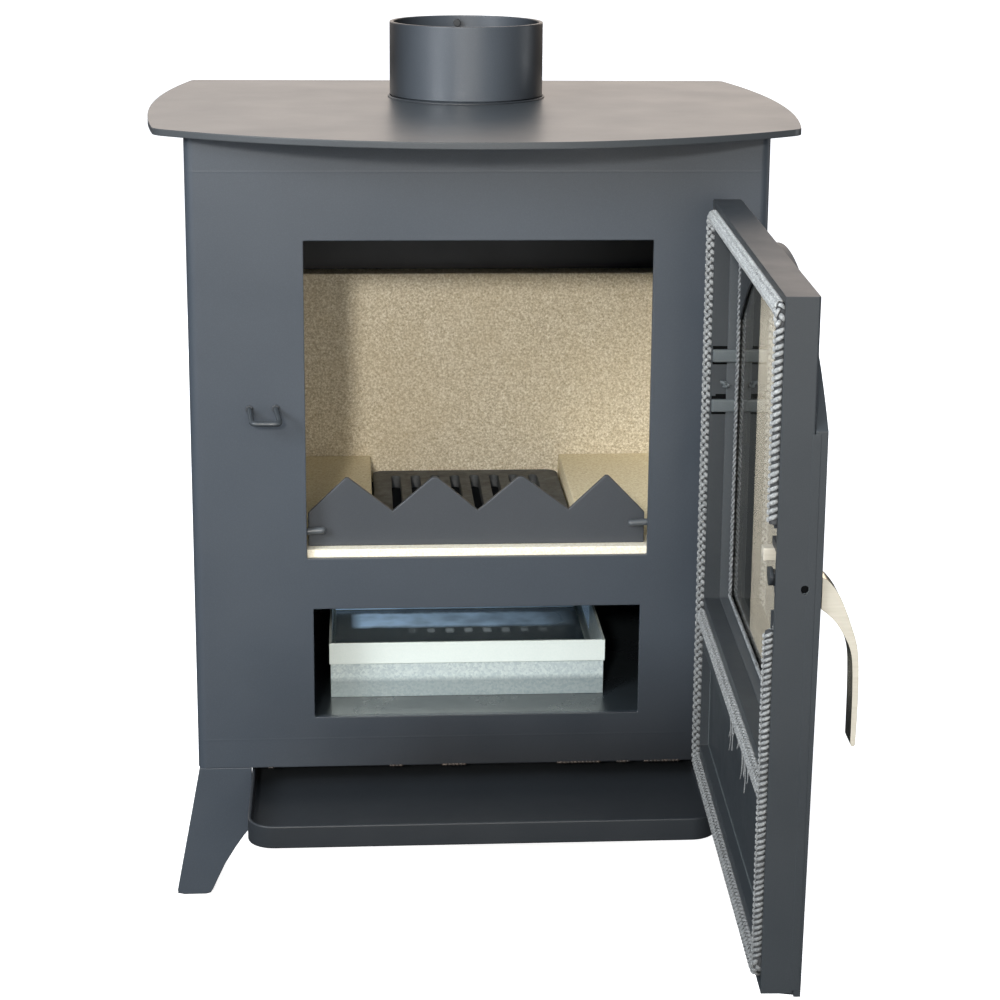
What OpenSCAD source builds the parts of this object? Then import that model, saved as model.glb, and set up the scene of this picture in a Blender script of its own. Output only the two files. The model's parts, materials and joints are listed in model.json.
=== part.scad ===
// Box stove with a bowed top plate, a round flue collar and a glazed, arch-fronted door.
// Right-handed frame in mm: +X to the viewer's right, +Y to the back of the stove, +Z up.
// The origin is on the floor under the middle of the whole stove with its door open.

/* [Body] */
// Half width of the steel body
body_half_w = 221; // [216:1:226]
// Depth of the steel body, front sheet to back panel
body_depth = 324; // [320:1:330]
// Thickness of the wrapped front and side sheet
sheet_t = 4; // [3:0.5:4]
// Radius of the two front bends of the wrapped sheet
bend_r = 8; // [6:0.5:12]

/* [Top] */
// Thickness of the top plate
top_t = 5; // [4:0.5:8]
// Half width of the top plate at its widest line
top_half_w = 255.5; // [250:0.5:260]
// Radius of the bowed front edge of the top plate
top_front_r = 400; // [385:1:420]
// Outer radius of the flue collar
flue_r = 63.5; // [60:0.5:66]
// Wall thickness of the flue collar
flue_wall = 3; // [2:0.5:4]
// Height of the collar rim above the top plate
flue_h = 62; // [40:1:90]

/* [Firebox] */
// Half width of the upper opening
mouth_half_w = 133; // [128:1:140]
// Thickness of the bricks
brick_t = 25; // [20:1:25]
// Height of the back brick's top edge
back_brick_top = 451; // [400:0.5:470]
// Pitch of the grate slots
grate_pitch = 17.4; // [16:0.2:18]
// Width of one grate slot
grate_slot = 8.5; // [6:0.5:10]

/* [Ash] */
// Half width of the lower opening
ash_half_w = 128.5; // [124:0.5:132]
// Height of the ash pan
pan_h = 46; // [35:1:60]
// Reach of the lip tray in front of the body
lip_reach = 114; // [90:1:120]
// Front corner radius of the lip tray
lip_r = 21; // [15:1:40]

/* [Door] */
// Angle the door stands open at rest, in degrees
door_open = 88; // [60:1:100]
// Radius of the arched top of the raised door front
arch_r = 272; // [250:1:300]
// Thickness of the raised door front
front_plate_t = 7.5; // [5:0.5:9]
// Radius of the rope seal
rope_r = 5; // [3.5:0.5:5]
// Thickness of the window glass
glass_t = 4; // [3:0.5:4]

/* [Handle] */
// Width of the handle lever
lever_w = 20; // [12:1:24]
// Radius of the handle spindle
spindle_r = 5; // [4:0.5:5.5]

/* [Hidden] */
$fn = 64;
fy = 36.9;                       // shift that centres the open stove over the origin
z_body0 = 107.5;                 // body bottom
z_body1 = 610;                   // body top
mouth_z0 = 280; mouth_z1 = 530;
ash_z0 = 149; ash_z1 = 239;
yc = 216.6;                      // flue centre behind the front sheet
top_yc = top_front_r - 86;       // centre of the bowed front arc
side_r = 900;                    // radius of the bowed ends
side_y = 150;                    // line of the widest points
top_back = 345.3;
inner_x = body_half_w - sheet_t;
floor_t = 4;
z_floor = 261;                   // top of the firebox floor
brick_top0 = 286;                // top of the base bricks
dw = 191;                        // door half width
dz0 = 116.2; dz1 = 566.7;        // door bottom and top
yi = -6;                         // inner plane of the closed door
dt = 21;                         // depth of the door tray
edge_r = 1.5;                    // rounding of the tray's long outer edges
px = 197; py = -31;              // hinge line
pin_r = 3.5; run = 0.06;
arch_z = dz1 - 3.7 - arch_r;     // centre of the arch
sx = -177.5; sz = 385;           // spindle line
rope_x = 181.5; rope_zt = 556.5; rope_zb = 126.5; rope_zm = 247;
e = 0.01;
gx = 3.5;                        // sideways shift of the grate and the base bricks
sd = 18.2;                       // depth of the grub screw hole

c_body = [0.33, 0.36, 0.38];
c_dark = [0.20, 0.22, 0.24];
c_cream = [0.90, 0.86, 0.72];
c_rope = [0.62, 0.63, 0.65];

// ---- helpers ----
module at() { translate([0, fy, 0]) children(); }
module swung() { at() translate([px, py, 0]) rotate([0, 0, door_open]) translate([-px, -py, 0]) children(); }
// box from low corner to high corner
module bx(a, b) { translate(a) cube([b[0] - a[0], b[1] - a[1], b[2] - a[2]]); }
// door box: x range, depth range from the inner plane, z range
module db(x0, x1, d0, d1, z0, z1) { bx([x0, yi - d1, z0], [x1, yi - d0, z1]); }
// round bar between two points
module rod(p, q, r) {
    v = q - p; l = norm(v);
    translate(p) rotate([0, acos(v[2] / l), atan2(v[1], v[0])]) cylinder(h = l, r = r);
}
function unit(v) = v / norm(v);
// level plate that fills the body between its walls, with its front corners cut off
module inner_plate(z0, z1) {
    c = 4.2;
    translate([0, 0, z0]) linear_extrude(height = z1 - z0)
        polygon([[-inner_x + c, sheet_t], [inner_x - c, sheet_t], [inner_x, sheet_t + c], [inner_x, 320], [-inner_x, 320], [-inner_x, sheet_t + c]]);
}
// plate standing in the x-z plane: 2D outline in (x, z), depth range from the inner plane
module standing(d0, d1) { translate([0, yi - d0, 0]) rotate([90, 0, 0]) linear_extrude(height = d1 - d0) children(); }
module rrect(x0, x1, y0, y1, r) {
    union() {
        translate([x0 + r, y0]) square([x1 - x0 - 2 * r, y1 - y0]);
        translate([x0, y0 + r]) square([x1 - x0, y1 - y0 - 2 * r]);
        for (x = [x0 + r, x1 - r]) for (y = [y0 + r, y1 - r]) translate([x, y]) circle(r = r);
    }
}

// ---- body ----
module wrap_2d(g) {
    // outline of the wrapped sheet, moved inwards by g
    w = body_half_w - g; r = bend_r - g;
    union() {
        translate([-w, g + r]) square([2 * w, 320 - g - r]);
        translate([-w + r, g]) square([2 * (w - r), 320 - g]);
        for (s = [-1, 1]) translate([s * (w - r), g + r]) circle(r = r);
    }
}
module body_wrap() {
    color(c_body) at() difference() {
        translate([0, 0, z_body0]) linear_extrude(height = z_body1 - z_body0) wrap_2d(0);
        translate([0, 0, z_body0 - 1]) linear_extrude(height = z_body1 - z_body0 + 2) difference() {
            wrap_2d(sheet_t);
            translate([-300, 320 - e]) square([600, 10]);
        }
        bx([-inner_x, 300, z_body0 - 1], [inner_x, 330, z_body1 + 1]);
        translate([0, 20, 0]) rotate([90, 0, 0]) linear_extrude(height = 40)
            union() {
                rrect(-mouth_half_w, mouth_half_w, mouth_z0, mouth_z1, 1);
                rrect(-ash_half_w, ash_half_w, ash_z0, ash_z1, 1);
            }
    }
}
module back_panel() { color(c_body) at() bx([-body_half_w, 320, z_body0], [body_half_w, body_depth, z_body1]); }
module base_plate() { color(c_dark) at() inner_plate(z_body0, z_body0 + 4); }
module top_outline() {
    intersection() {
        translate([0, top_yc]) circle(r = top_front_r, $fn = 256);
        translate([-(top_half_w - side_r), side_y]) circle(r = side_r, $fn = 256);
        translate([top_half_w - side_r, side_y]) circle(r = side_r, $fn = 256);
        translate([-400, -200]) square([800, 200 + top_back]);
    }
}
// rounded front corners: what lies outside a tangent arc is cut away
module corner_cut() {
    for (s = [-1, 1]) scale_x(s) difference() {
        polygon([[223.8, 6.9], [235.6, -9.3], [240, -30], [270, -20], [243.5, 3.65]]);
        translate([223.8, 6.9]) circle(r = 20.02);
    }
}
// small rounding of the two back corners
module back_corner_cut() {
    for (s = [-1, 1]) scale_x(s) difference() {
        polygon([[229.2, top_back - 6], [235.07, top_back - 4.7], [250, top_back], [240, top_back + 10], [229.2, top_back]]);
        translate([229.2, top_back - 6]) circle(r = 6.01);
    }
}
module scale_x(s) { if (s > 0) children(); else mirror([1, 0]) children(); }
module top_plate() {
    color(c_body) at() translate([0, 0, z_body1]) linear_extrude(height = top_t) difference() {
        top_outline();
        translate([0, yc]) circle(r = flue_r + 1.55, $fn = 128);
        corner_cut();
        back_corner_cut();
    }
}
module flue_collar() {
    // the tube stands 2 mm clear of the plate on a slightly thinner root
    color(c_body) at() translate([0, yc, 596]) difference() {
        union() {
            cylinder(h = 22, r = flue_r - 1, $fn = 128);
            translate([0, 0, 21]) cylinder(h = flue_h - 2, r = flue_r, $fn = 128);
        }
        translate([0, 0, -1]) cylinder(h = 21 + flue_h, r = flue_r - flue_wall, $fn = 128);
    }
}
module flue_weld() {
    // fills the gap between the root of the collar and the edge of the plate's hole
    color(c_body) at() translate([0, yc, z_body1]) rotate_extrude($fn = 128)
        polygon([[flue_r - 0.95, 0], [flue_r + 1.4, 0], [flue_r + 1.4, top_t + 0.3], [flue_r + 0.6, top_t + 1.5], [flue_r - 0.95, top_t + 1.9]]);
}
module collar_screw() {
    color([0.55, 0.55, 0.55]) at() intersection() {
        translate([-5, yc + flue_r, 671]) rotate([90, 0, 0]) cylinder(h = 7.2, r = 3.2);
        translate([0, yc, 660]) cylinder(h = 22, r = flue_r - flue_wall - 0.02, $fn = 128);
    }
}

// ---- legs ----
module leg_profile() {
    // front flange, in (x, z) for the left leg, joined to the body bottom
    difference() {
        polygon([[-219.97, z_body0], [-239.4, 6.2], [-239.9, 3], [-238.6, 1], [-234.5, 0], [-217, 0], [-213.6, 1],
            [-211.6, 4], [-207.7, 12.6], [-201.4, 26], [-192.3, 41], [-186, 50], [-179.6, 58], [-178.9, 62], [-178.9, z_body0]]);
    }
}
module leg_side_profile() {
    // side flange, in (y, height along the slope)
    polygon([[2, 0.2], [19, 0.2], [23, 1.6], [25.5, 5], [31, 18], [40, 34], [52, 50], [58, 58], [59.5, 64], [59.5, 107.3], [2, 107.3]]);
}
lean = atan2(20, 105);
module leg() {
    union() {
        translate([0, 4, 0]) rotate([90, 0, 0]) linear_extrude(height = 4) leg_profile();
        difference() {
            translate([-240, 0, 0]) rotate([0, lean, 0]) translate([0, 0, -0.6]) rotate([90, 0, 90]) linear_extrude(height = 4) leg_side_profile();
            bx([-260, -10, -10], [-200, 80, 0]);
            bx([-260, -10, z_body0], [-200, 80, z_body0 + 20]);
        }
    }
}
module leg_front_left() { color(c_body) at() leg(); }
module leg_front_right() { color(c_body) at() mirror([1, 0, 0]) leg(); }
module leg_rear_left() { color(c_body) at() translate([0, body_depth, 0]) mirror([0, 1, 0]) leg(); }
module leg_rear_right() { color(c_body) at() translate([0, body_depth, 0]) mirror([1, 0, 0]) mirror([0, 1, 0]) leg(); }

// ---- firebox ----
module ash_floor() { color(c_dark) at() inner_plate(ash_z0 - 4, ash_z0); }
module firebox_floor() {
    color(c_dark) at() difference() {
        inner_plate(z_floor - floor_t, z_floor);
        bx([gx - 76, 43, 200], [gx + 76, 286, 300]);
    }
}
module back_brick() { color(c_cream) at() bx([-214, 294, z_floor], [214, 294 + brick_t, back_brick_top]); }
module side_brick() { bx([190, 37, z_floor], [190 + brick_t, 293.5, 445]); }
module side_brick_right() { color(c_cream) at() side_brick(); }
module side_brick_left() { color(c_cream) at() mirror([1, 0, 0]) side_brick(); }
module base_brick_right() { color(c_cream) at() bx([84.5 + gx, 36.5, z_floor], [189.5, 293.5, brick_top0]); }
module base_brick_left() { color(c_cream) at() bx([-189.5, 36.5, z_floor], [gx - 84.3, 293.5, brick_top0]); }
module front_brick() { color(c_cream) at() bx([-214, 5, z_floor], [214, 36, brick_top0]); }
module baffle_plate() {
    color(c_dark) at() translate([0, 318, 487]) rotate([-8.23, 0, 0]) bx([-212, -230, 0], [212, 0, 6]);
}
module baffle_rails() {
    color(c_dark) at() for (s = [-1, 1]) bx([s > 0 ? 197 : -inner_x, 290, 466], [s > 0 ? inner_x : -197, 318, 486.5]);
}
module retainer_pegs() {
    color([0.45, 0.42, 0.38]) at() {
        rod([-150, 9, 300], [-119, 9, 300], 2.3);
        rod([119, 9, 304], [150, 9, 304], 2.3);
        bx([-150, sheet_t, 296], [-138, 9, 304]);
        bx([138, sheet_t, 300], [150, 9, 308]);
    }
}
module grate() {
    color([0.36, 0.34, 0.32]) at() difference() {
        translate([0, 0, z_floor + 0.02]) linear_extrude(height = 11) difference() {
            rrect(gx - 82.2, gx + 82.2, 37, 292, 10);
            for (i = [-3.5:1:3.5]) translate([gx - 1.3 + i * grate_pitch, 0])
                rrect(-grate_slot / 2, grate_slot / 2, 53, 275, grate_slot / 2 - 0.01);
        }
        bx([gx - 58, 160, z_floor - 1], [gx + 58, 168, z_floor + 4]);
    }
}
module log_retainer() {
    color(c_body) at() translate([0, 18, 0]) rotate([90, 0, 0]) linear_extrude(height = 4)
        polygon([[-132, 286.2], [132, 286.2], [132, 311], [104.6, 339.5], [103, 341], [100.6, 341], [99, 339.5],
            [72, 314], [37.4, 340], [35.6, 341], [33, 341], [31.2, 340], [0.7, 314], [-30, 340], [-31.8, 341], [-34.4, 341],
            [-36.2, 340], [-66, 314], [-98.6, 339.5], [-100.3, 341], [-102.7, 341], [-104.3, 339.5], [-132, 313]]);
}

// ---- ash ----
module ash_pan() {
    t = 1.2; z0 = ash_z0 + 0.05;
    color([0.78, 0.79, 0.80]) at() difference() {
        bx([-116, 45, z0], [105, 265, z0 + pan_h]);
        bx([-116 + t, 45 + t, z0 + t], [105 - t, 265 - t, z0 + pan_h + 1]);
    }
}
module pan_hem() {
    z1 = ash_z0 + 0.05 + pan_h;
    color([0.86, 0.87, 0.88]) at() difference() {
        bx([-117, 44, z1 - 17.6], [106, 265, z1]);
        bx([-116, 45, z1 - 21], [105, 270, z1 + 1]);
    }
}
module lip_2d(g) {
    w = 178.5 - g; r = lip_r - g; y0 = -lip_reach + g;
    union() {
        translate([-w, y0 + r]) square([2 * w, lip_reach + 44 - r - 2 * g]);
        translate([-w + r, y0]) square([2 * (w - r), 50]);
        for (s = [-1, 1]) translate([s * (w - r), y0 + r]) circle(r = r);
    }
}
module ash_lip_tray() {
    color(c_body) at() union() {
        difference() {
            translate([0, 0, 88]) linear_extrude(height = 17.7) lip_2d(0);
            translate([0, 0, 90.5]) linear_extrude(height = 20) lip_2d(2.5);
        }
        // the back wall, out of sight below the body, runs up to the base plate
        bx([-178.5, 41.5, 95], [178.5, 44, z_body0]);
    }
}
module base_tacks() {
    // short tacks that join the front sheet's lower edge to the base plate
    color([0.42, 0.36, 0.30]) at()
        for (t = [[-166, -160], [-70, -58], [-28, -8], [64, 100], [112, 124], [134, 164]])
            bx([t[0], 0.2, z_body0 - 1.5], [t[1], 5.5, z_body0]);
}

// ---- keeper ----
kp = [[-175.3, 0, 400.5], [-172.5, -22, 393.7], [-150, -22, 393.7], [-154.4, 0, 401.6]];
kr = 2.4;
ka = kp[0] + unit(kp[0] - kp[1]) * 3; kd = kp[3] + unit(kp[3] - kp[2]) * 3;
module latch_keeper() {
    // a bent bar: two legs that end on the front sheet and one cross piece
    color(c_dark) at() difference() {
        union() {
            rod(ka, kp[1], kr);
            rod(kp[1] - [2.3, 0, 0], kp[2] + [2.3, 0, 0], kr + 0.1);
            rod(kd, kp[2], kr);
        }
        bx([-190, 0, 380], [-140, 10, 420]);
    }
}
module keeper_welds() {
    color(c_dark) at() for (i = [0, 3]) difference() {
        translate(kp[i]) rotate([90, 0, 0]) cylinder(h = 1.8, r = 3.6);
        if (i == 0) rod(ka, kp[1], kr + 0.05); else rod(kd, kp[2], kr + 0.05);
    }
}

// ---- hinges ----
hz = [190, 455];
module hinge_brackets() {
    color(c_dark) at() for (z = hz) union() {
        translate([px, py, z]) cylinder(h = 19.8, r = 5.6);
        bx([px - 3, py, z], [px + 3, 0, z + 19.8]);
    }
}
module hinge_pins() { color([0.6, 0.6, 0.62]) at() for (z = hz) translate([px, py, z + 19.8]) cylinder(h = 22, r = pin_r); }
module door_knuckles() {
    color(c_dark) swung() for (z = hz) difference() {
        union() {
            translate([px, py, z + 20.2]) cylinder(h = 19.8, r = 5.6);
            bx([dw, py - 4.5, z + 20.2], [px, py + 4.5, z + 40]);
        }
        translate([px, py, z + 20]) cylinder(h = 21, r = pin_r + run);
    }
}

// ---- door, drawn closed and swung about the hinge line ----
module arch_2d(w, z0, r) {
    intersection() {
        translate([-w, z0]) square([2 * w, 500]);
        union() {
            translate([-w, z0]) square([2 * w, arch_z - z0 + 20]);
            translate([0, arch_z]) circle(r = r, $fn = 128);
        }
    }
}
module door_tray() {
    color(c_dark) swung() difference() {
        translate([0, 0, dz0]) linear_extrude(height = dz1 - dz0) union() {
            translate([-dw, yi - dt + edge_r]) square([2 * dw, dt - edge_r]);
            translate([-dw + edge_r, yi - dt]) square([2 * dw - 2 * edge_r, dt]);
            for (s = [-1, 1]) translate([s * (dw - edge_r), yi - dt + edge_r]) circle(r = edge_r);
        }
        db(-dw + 4, dw - 4, -1, 19.5, dz0 + 4, dz1 - 4);
        standing(15, 25) arch_2d(171, 262, arch_r - 18);
        translate([sx, yi + 1, sz]) rotate([90, 0, 0]) cylinder(h = 40, r = spindle_r + run);
        // threaded hole for the grub screw in the free edge
        translate([-dw - 1, yi - sd, sz]) rotate([0, 90, 0]) cylinder(h = 6, r = 2.5);
    }
}
module groove_cut() {
    for (s = [-1, 1]) db(s * rope_x - 5.5, s * rope_x + 5.5, -1, 5.5, rope_zb - 5.5, rope_zt + 5.5);
    db(-rope_x, rope_x, -1, 5.5, rope_zt - 5.5, rope_zt + 5.5);
    db(-rope_x, rope_x, -1, 5.5, rope_zb - 5.5, rope_zb + 5.5);
    db(-rope_x, rope_x, -1, 5.5, rope_zm - 5.5, rope_zm + 5.5);
    for (s = [-1, 1]) {
        db(s > 0 ? 174.3 : -176.1, s > 0 ? 176.1 : -174.3, -1, 5.5, 549.3, 551.1);
        db(s > 0 ? 174.3 : -176.1, s > 0 ? 176.1 : -174.3, -1, 5.5, rope_zb + 5.4, rope_zb + 7.2);
    }
}
module latch_notch() {
    db(-181.5, -170, -1, 19.6, 367.5, 420);
    db(-184.8, -170, -1, 19.6, 376, 394);
}
module seal_channel() {
    color(c_dark) swung() difference() {
        union() {
            difference() {
                db(-dw + 4, dw - 4, 0, 7.5, dz0 + 4, dz1 - 4);
                db(-174.5, 174.5, -1, 9, 141, 548);
            }
            // window and panel return walls
            for (s = [-1, 1]) db(s > 0 ? 174.5 : -176, s > 0 ? 176 : -174.5, 7, 19.5, 141, 548);
            db(-176, 176, 7, 19.5, 548, 549.5);
            db(-176, 176, 7, 19.5, 139.5, 141);
        }
        groove_cut();
        latch_notch();
    }
}
module crossbar() {
    color(c_dark) swung() difference() {
        union() {
            db(-174.5, 174.5, 0, 8, 221, 261);
            db(-174.5, 174.5, 8, 19.5, 259.5, 261);
        }
        groove_cut();
    }
}
module lower_panel() { color(c_dark) swung() union() { db(-174.5, 174.5, 7, 9.5, 141, 221); db(-174.5, 174.5, 8, 9.5, 221, 240); } }
module door_front_plate() {
    color(c_dark) swung() difference() {
        standing(dt, dt + front_plate_t) arch_2d(dw, dz0 - 2.4, arch_r);
        // the lower part of its face leans slightly inwards
        translate([0, yi - dt - front_plate_t, 400]) rotate([0.62, 0, 0]) translate([-300, -50, -400]) cube([600, 50, 400]);
        // window
        standing(dt - 1, dt + front_plate_t + 1) intersection() {
            rrect(-131, 131, 266, 560, 14);
            arch_2d(131, 200, arch_r - 26);
        }
        // rebate that holds the glass
        standing(dt - 1, dt + glass_t + 0.6) arch_2d(173, 246, arch_r - 12);
        translate([sx, yi + 1, sz]) rotate([90, 0, 0]) cylinder(h = 40, r = spindle_r + run);
    }
}
module spindle_boss() {
    color(c_dark) swung() translate([sx, yi - 5.6, sz]) rotate([90, 0, 0]) difference() {
        cylinder(h = 13.9, r = 6.5);
        translate([0, 0, -1]) cylinder(h = 25, r = spindle_r + run);
    }
}
module glass() { color([0.75, 0.78, 0.80, 0.35]) swung() standing(dt + 0.3, dt + 0.3 + glass_t) arch_2d(171.6, 247.5, arch_r - 13.5); }
module glass_gasket() {
    color(c_rope) swung() {
        rod([172.9, yi - 18.15, 262.6], [172.9, yi - 18.15, 546], 1.3);
        // the cord stops on each side of the spindle and the keeper
        rod([-172.9, yi - 18.15, 262.6], [-172.9, yi - 18.15, 377.5], 1.3);
        rod([-172.9, yi - 18.15, 406], [-172.9, yi - 18.15, 546], 1.3);
        rod([-171.4, yi - 18.15, 262.6], [171.4, yi - 18.15, 262.6], 1.3);
        rod([-171.4, yi - 18.15, 546.4], [171.4, yi - 18.15, 546.4], 1.3);
    }
}
module glass_clips() { color(c_dark) swung() for (z = [447, 408]) db(171.8, 174.5, 1.5, 16.6, z - 5.3, z + 5.3); }
module clip_screws() {
    color([0.4, 0.4, 0.4]) swung() {
        translate([174.5, yi - 9, 427]) rotate([0, -90, 0]) cylinder(h = 2.6, r = 3);
        for (z = [447, 408]) translate([171.8, yi - 9, z]) rotate([0, -90, 0]) cylinder(h = 1, r = 2.2);
    }
}
module rope_perimeter() {
    r = 9;
    color(c_rope) swung() union() {
        rod([-rope_x, yi, 424.5], [-rope_x, yi, rope_zt - r], rope_r);
        rod([-rope_x + r, yi, rope_zt], [rope_x - r, yi, rope_zt], rope_r);
        rod([rope_x, yi, rope_zb + r], [rope_x, yi, rope_zt - r], rope_r);
        rod([-rope_x + r, yi, rope_zb], [rope_x - r, yi, rope_zb], rope_r);
        rod([-rope_x, yi, rope_zb + r], [-rope_x, yi, 357], rope_r);
        for (c = [[-1, 1], [1, 1], [1, -1], [-1, -1]])
            translate([c[0] * (rope_x - r), yi, c[1] > 0 ? rope_zt - r : rope_zb + r]) rotate([90, 0, 0])
                intersection() {
                    rotate_extrude() translate([r, 0]) circle(r = rope_r);
                    translate([c[0] > 0 ? 0 : -20, c[1] > 0 ? 0 : -20, -10]) cube([20, 20, 20]);
                }
    }
}
module rope_crossbar() { color(c_rope) swung() rod([-176.2, yi, rope_zm], [176.2, yi, rope_zm], rope_r); }
module grub_screw() { color([0.15, 0.15, 0.16]) swung() translate([-dw + 1, yi - sd, sz]) rotate([0, 90, 0]) cylinder(h = 3, r = 2.4); }

// ---- handle and latch ----
module handle_lever() {
    color([0.85, 0.83, 0.77]) swung() translate([sx - lever_w / 2, yi, 0]) rotate([90, 0, 90]) linear_extrude(height = lever_w)
        polygon([[-29, 391.5], [-31.5, 391], [-36, 386], [-40.6, 379], [-44.8, 370.5], [-47.8, 362.1], [-50.6, 354], [-52.7, 345.9], [-53.7, 336],
            [-54.1, 324.4], [-54.2, 313], [-54.1, 302.4], [-53.9, 292], [-53.6, 284], [-52.6, 282], [-51, 282], [-50.3, 284], [-50.5, 300],
            [-50.5, 313.3], [-50.3, 329.6], [-49.6, 337], [-48.6, 343.6], [-45.1, 352.2], [-42.1, 358], [-38.5, 362.9], [-33.8, 368], [-29, 371.5]]);
}
module handle_spindle() { color([0.6, 0.6, 0.62]) swung() translate([sx, yi - 1.6, sz]) rotate([90, 0, 0]) cylinder(h = 27.4, r = spindle_r); }
module cap_2d() {
    intersection() {
        translate([sx - 1.1, sz + 7]) circle(r = 7.4);
        translate([sx, sz]) circle(r = 10.9);
    }
}
module latch_hook() {
    // round end cap and the bent arm behind it
    color(c_dark) swung() union() {
        standing(-2.8, -0.4) cap_2d();
        standing(-1, 1.6) intersection() {
            cap_2d();
            translate([sx - 6.4, sz]) square([10, 8.6]);
        }
        difference() {
            standing(1.6, 5.2) union() {
                translate([sx, sz]) circle(r = 6.5);
                polygon([[sx - 6.2, sz], [sx - 2, sz], [-179.6, 392], [-179.6, 405], [-159, 405], [-159, 410.5], [-183, 410.5], [-186, 407], [-186, 393]]);
            }
            translate([sx, yi - 1.5, sz]) rotate([90, 0, 0]) cylinder(h = 5, r = spindle_r + 0.02);
        }
    }
}
module hook_finger() { color([0.93, 0.90, 0.82]) swung() db(-168.5, -159, -5, 10, 397, 405); }

body_wrap();
back_panel();
base_plate();
top_plate();
flue_collar();
flue_weld();
collar_screw();
leg_front_left();
leg_front_right();
leg_rear_left();
leg_rear_right();
ash_floor();
firebox_floor();
back_brick();
side_brick_left();
side_brick_right();
base_brick_left();
base_brick_right();
front_brick();
baffle_plate();
baffle_rails();
retainer_pegs();
latch_keeper();
keeper_welds();
base_tacks();
ash_lip_tray();
hinge_brackets();
hinge_pins();
grate();
log_retainer();
ash_pan();
pan_hem();
door_tray();
seal_channel();
crossbar();
lower_panel();
door_front_plate();
door_knuckles();
spindle_boss();
glass();
glass_gasket();
glass_clips();
clip_screws();
rope_perimeter();
rope_crossbar();
grub_screw();
handle_lever();
handle_spindle();
latch_hook();
hook_finger();
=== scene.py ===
import json
import math
import random
import bpy
import bmesh
from mathutils import Vector, Matrix

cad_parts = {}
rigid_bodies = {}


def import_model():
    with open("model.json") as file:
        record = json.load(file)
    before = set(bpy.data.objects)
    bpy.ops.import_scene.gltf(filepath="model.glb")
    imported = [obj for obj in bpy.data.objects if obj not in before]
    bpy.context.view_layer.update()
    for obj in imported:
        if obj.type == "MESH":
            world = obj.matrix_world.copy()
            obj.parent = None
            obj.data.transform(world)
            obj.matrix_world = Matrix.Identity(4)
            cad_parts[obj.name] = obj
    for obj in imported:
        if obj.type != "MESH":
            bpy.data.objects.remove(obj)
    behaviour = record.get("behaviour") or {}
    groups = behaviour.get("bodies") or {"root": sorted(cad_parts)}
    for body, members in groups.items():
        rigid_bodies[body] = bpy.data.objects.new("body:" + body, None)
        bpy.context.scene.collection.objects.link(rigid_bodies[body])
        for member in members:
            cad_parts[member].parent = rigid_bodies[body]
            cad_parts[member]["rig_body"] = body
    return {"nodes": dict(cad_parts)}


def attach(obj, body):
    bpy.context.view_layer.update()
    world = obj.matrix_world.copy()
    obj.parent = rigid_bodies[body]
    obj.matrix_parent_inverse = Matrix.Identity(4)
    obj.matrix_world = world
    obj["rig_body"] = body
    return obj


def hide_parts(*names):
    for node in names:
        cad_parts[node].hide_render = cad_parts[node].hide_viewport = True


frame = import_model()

random.seed(7)
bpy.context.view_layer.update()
N = frame["nodes"]
FY = 36.9                    # mm, front sheet's front face in the row frame
PX, PY = 197.0, -31.0        # hinge line, mm, measured from the front sheet
OPEN = math.radians(88.0)
YI = -6.0                    # inner plane of the closed door
DW = 191.0
DZ0, DZ1 = 116.2, 566.7
SX, SZ = -177.5, 385.0       # spindle
ROPE_X, ROPE_ZT, ROPE_ZB, ROPE_ZM = 181.5, 556.5, 126.5, 247.0


# ------------------------------------------------------------------ places
def P(x, y, z):
    """Stove point in mm, measured from the middle of the front sheet, in metres in the row frame."""
    return Vector((x / 1000, (y + FY) / 1000, z / 1000))


DOOR = (Matrix.Translation(Vector((PX / 1000, (PY + FY) / 1000, 0)))
        @ Matrix.Rotation(OPEN, 4, "Z")
        @ Matrix.Translation(Vector((-PX / 1000, -(PY + FY) / 1000, 0))))


def D(x, d, z):
    """Door point: x and z in mm with the door closed, d outwards from its inner plane."""
    return DOOR @ P(x, YI - d, z)


# ------------------------------------------------------------------ camera
def make_camera():
    f, cx, cy, cz = 2412.66, -98.69, -1802.0, 834.91
    pitch, yaw, roll = math.radians(14.29), math.radians(4.29), math.radians(0.57)
    u0, v0 = 525.61, 439.27
    fwd = Vector((math.sin(yaw) * math.cos(pitch), math.cos(yaw) * math.cos(pitch), -math.sin(pitch)))
    right = Vector((math.cos(yaw), -math.sin(yaw), 0))
    up = right.cross(fwd)
    r2 = math.cos(roll) * right + math.sin(roll) * up
    u2 = -math.sin(roll) * right + math.cos(roll) * up
    cam = bpy.data.cameras.new("camera")
    ob = bpy.data.objects.new("camera", cam)
    bpy.context.scene.collection.objects.link(ob)
    m = Matrix.Identity(4)
    for i in range(3):
        m[i][0], m[i][1], m[i][2] = r2[i], u2[i], -fwd[i]
    m.translation = Vector((cx / 1000, (cy + FY) / 1000, cz / 1000))
    ob.matrix_world = m
    cam.sensor_width = 36
    cam.sensor_fit = "HORIZONTAL"
    cam.lens = f * 0.036
    cam.shift_x = (500 - u0) / 1000
    cam.shift_y = (v0 - 500) / 1000
    cam.clip_start = 0.05
    bpy.context.scene.camera = ob
    return ob


camera = make_camera()


# ------------------------------------------------------------------ material tools
def srgb(r, g, b):
    def f(c):
        c /= 255.0
        return c / 12.92 if c <= 0.04045 else ((c + 0.055) / 1.055) ** 2.4
    return (f(r), f(g), f(b), 1.0)


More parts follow.
